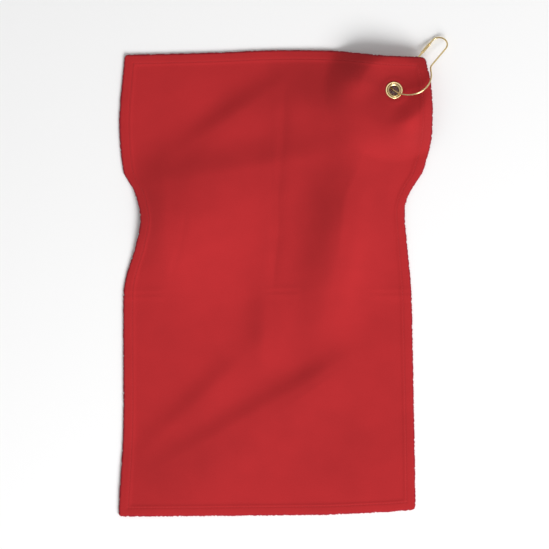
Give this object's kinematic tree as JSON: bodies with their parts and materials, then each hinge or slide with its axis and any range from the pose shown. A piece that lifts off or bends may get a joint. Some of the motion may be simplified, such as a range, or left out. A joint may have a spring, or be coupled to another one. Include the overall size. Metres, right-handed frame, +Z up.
{
  "type": "golf towel",
  "caption": "Hemmed terry velour golf towel, gathered as it lies, with a corner grommet and a sprung wire bag hook.",
  "frame": {"origin": "on the surface that the towel lies on, under the middle of the whole object's footprint, hook included", "axes": "+X across the towel towards the grommet side, +Y along the towel towards the grommet end, +Z up from the surface, out of the towel's face"},
  "size_m": [0.3122, 0.4552, 0.0263],
  "materials": {
    "towel_cotton": "sheared cotton velour, deep red",
    "hem_thread": "spun polyester sewing thread, red",
    "grommet_brass": "rolled brass, slightly aged",
    "hook_brass": "bright brass plate on spring wire"
  },
  "bodies": {
    "towel": {"towel_cloth": "towel_cotton", "needle_thread_plain_end": "hem_thread", "needle_thread_grommet_end": "hem_thread", "needle_thread_left": "hem_thread", "needle_thread_right": "hem_thread", "bobbin_thread_plain_end": "hem_thread", "bobbin_thread_grommet_end": "hem_thread", "bobbin_thread_left": "hem_thread", "bobbin_thread_right": "hem_thread", "grommet_eyelet": "grommet_brass", "grommet_washer": "grommet_brass"},
    "hook": {"hook_wire": "hook_brass"},
    "gate": {"hook_gate": "hook_brass"}
  },
  "joints": [
    {"name": "hook_swing", "type": "hinge", "parent": "towel", "child": "hook", "pos_m": [0.10475, 0.17614, 0.0164], "axis": [0.1336, 0.1593, 0.9781], "range_deg": [-60, 60]},
    {"name": "gate_flex", "type": "hinge", "parent": "hook", "child": "gate", "pos_m": [0.10066, 0.18375, 0.01079], "axis": [0.2798, -0.4675, -0.8386], "range_deg": [0, 8], "stiffness_Nm_per_rad": 1.2, "springref_deg": -1.72}
  ]
}
